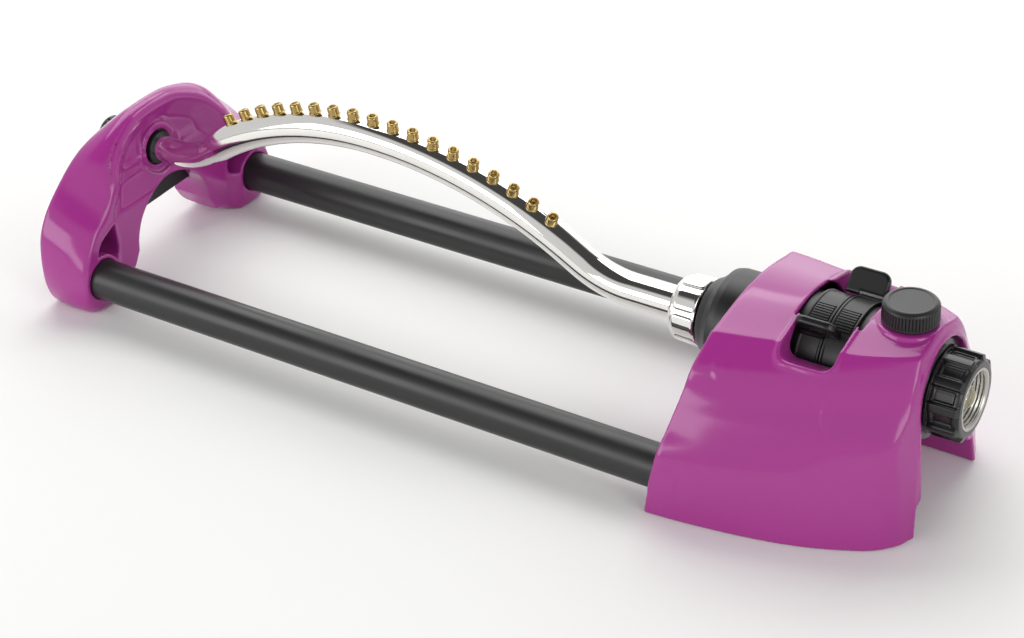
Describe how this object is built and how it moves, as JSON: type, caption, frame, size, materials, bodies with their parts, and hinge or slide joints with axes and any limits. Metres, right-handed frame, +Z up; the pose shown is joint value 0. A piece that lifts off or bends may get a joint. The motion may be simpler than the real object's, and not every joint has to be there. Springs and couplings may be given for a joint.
{
  "type": "oscillating sprinkler",
  "caption": "Oscillating lawn sprinkler: an arched chrome spray tube with brass nozzles swings between a purple gear housing and an end bracket on round black rails.",
  "frame": {"origin": "on the ground under the middle of the whole sprinkler", "axes": "+X along the sprinkler towards the hose inlet, +Y across it, +Z up"},
  "size_m": [0.516, 0.165, 0.123],
  "materials": {
    "purple_shell": "glossy moulded plastic",
    "black_plastic": "satin moulded plastic",
    "rail_paint": "satin black paint on steel tube",
    "chrome_plate": "bright chrome plate",
    "brass": "turned brass",
    "steel": "zinc-plated steel",
    "gear_plastic": "natural acetal",
    "seal_rubber": "soft rubber",
    "washer_rubber": "pale rubber",
    "thread_metal": "grey cast metal",
    "filter_mesh": "woven wire"
  },
  "bodies": {
    "base": {"gear_housing": "purple_shell", "base_plate": "black_plastic", "base_screws": "steel", "rail_near": "rail_paint", "rail_far": "rail_paint", "rail_screws": "steel", "end_bracket": "purple_shell", "bracket_frame": "black_plastic", "bracket_screws": "steel", "arm_bush": "black_plastic", "motor_case": "black_plastic", "front_cover": "black_plastic", "case_gasket": "seal_rubber", "cover_screws": "steel", "hub_bearing": "gear_plastic", "front_gear_plate": "gear_plastic", "rear_gear_plate": "gear_plastic", "jet_plate": "gear_plastic", "main_axle": "steel", "side_axle": "steel", "inlet_body": "black_plastic", "inlet_seal": "seal_rubber", "valve_gland": "black_plastic"},
    "arm": {"spray_tube": "chrome_plate", "jet_nozzles": "brass", "collar_nut": "chrome_plate", "tube_seal": "seal_rubber", "output_hub": "black_plastic", "output_gear": "gear_plastic", "hub_seal": "seal_rubber", "end_sleeve": "black_plastic"},
    "cleanout": {"cleanout_plug": "black_plastic", "plug_seal": "seal_rubber"},
    "rotor": {"turbine_rotor": "gear_plastic"},
    "gear_1": {"gear_a": "gear_plastic"},
    "gear_2": {"gear_b": "gear_plastic"},
    "gear_3": {"gear_c": "gear_plastic"},
    "range_near": {"range_ring_near": "black_plastic"},
    "range_far": {"range_ring_far": "black_plastic"},
    "yoke": {"reversing_yoke": "black_plastic"},
    "flap": {"diverter_flap": "gear_plastic"},
    "flow_valve": {"flow_knob": "black_plastic", "valve_stem": "black_plastic", "stem_seal": "seal_rubber"},
    "hose_nut": {"swivel_nut": "black_plastic", "thread_insert": "thread_metal", "hose_washer": "washer_rubber", "filter_screen": "filter_mesh"}
  },
  "joints": [
    {"name": "arm_swing", "type": "hinge", "parent": "base", "child": "arm", "pos_m": [0, 0, 0.0645], "axis": [1, 0, 0], "range_deg": [-45, 45]},
    {"name": "gear_3_spin", "type": "hinge", "parent": "base", "child": "gear_3", "pos_m": [0.1806, 0, 0.0525], "axis": [1, 0, 0], "range_deg": [-106, 106]},
    {"name": "gear_2_spin", "type": "hinge", "parent": "base", "child": "gear_2", "pos_m": [0.1858, 0, 0.0645], "axis": [1, 0, 0], "range_deg": [-246, 246]},
    {"name": "gear_1_spin", "type": "hinge", "parent": "base", "child": "gear_1", "pos_m": [0.1908, 0, 0.0525], "axis": [1, 0, 0], "range_deg": [-573, 573]},
    {"name": "rotor_spin", "type": "hinge", "parent": "base", "child": "rotor", "pos_m": [0.2, 0, 0.0645], "axis": [1, 0, 0], "range_deg": [-1335, 1335]},
    {"name": "range_near_slide", "type": "hinge", "parent": "base", "child": "range_near", "pos_m": [0.184, 0, 0.0645], "axis": [1, 0, 0], "range_deg": [-28, 20]},
    {"name": "range_far_slide", "type": "hinge", "parent": "base", "child": "range_far", "pos_m": [0.197, 0, 0.0645], "axis": [1, 0, 0], "range_deg": [-20, 28]},
    {"name": "yoke_trip", "type": "hinge", "parent": "base", "child": "yoke", "pos_m": [0.17, 0, 0.0645], "axis": [1, 0, 0], "range_deg": [0, 12]},
    {"name": "flap_turn", "type": "hinge", "parent": "base", "child": "flap", "pos_m": [0.2065, 0, 0.0645], "axis": [1, 0, 0], "range_deg": [0, 60]},
    {"name": "flow_turn", "type": "hinge", "parent": "base", "child": "flow_valve", "pos_m": [0.2237, 0, 0.094], "axis": [0, 0, 1], "range_deg": [0, 90]},
    {"name": "hose_nut_spin", "type": "hinge", "parent": "base", "child": "hose_nut", "pos_m": [0.25, 0, 0.061], "axis": [1, 0, 0], "continuous": true},
    {"name": "cleanout_pull", "type": "slide", "parent": "arm", "child": "cleanout", "axis": [-1, 0, 0], "range_m": [0, 0.04]}
  ],
  "couplings": [
    {"joint": "gear_3_spin", "follows": "arm_swing", "ratio": -2.3333},
    {"joint": "gear_2_spin", "follows": "arm_swing", "ratio": 5.4444},
    {"joint": "gear_1_spin", "follows": "arm_swing", "ratio": -12.704},
    {"joint": "rotor_spin", "follows": "arm_swing", "ratio": 29.642},
    {"joint": "flap_turn", "follows": "yoke_trip", "ratio": 5}
  ]
}
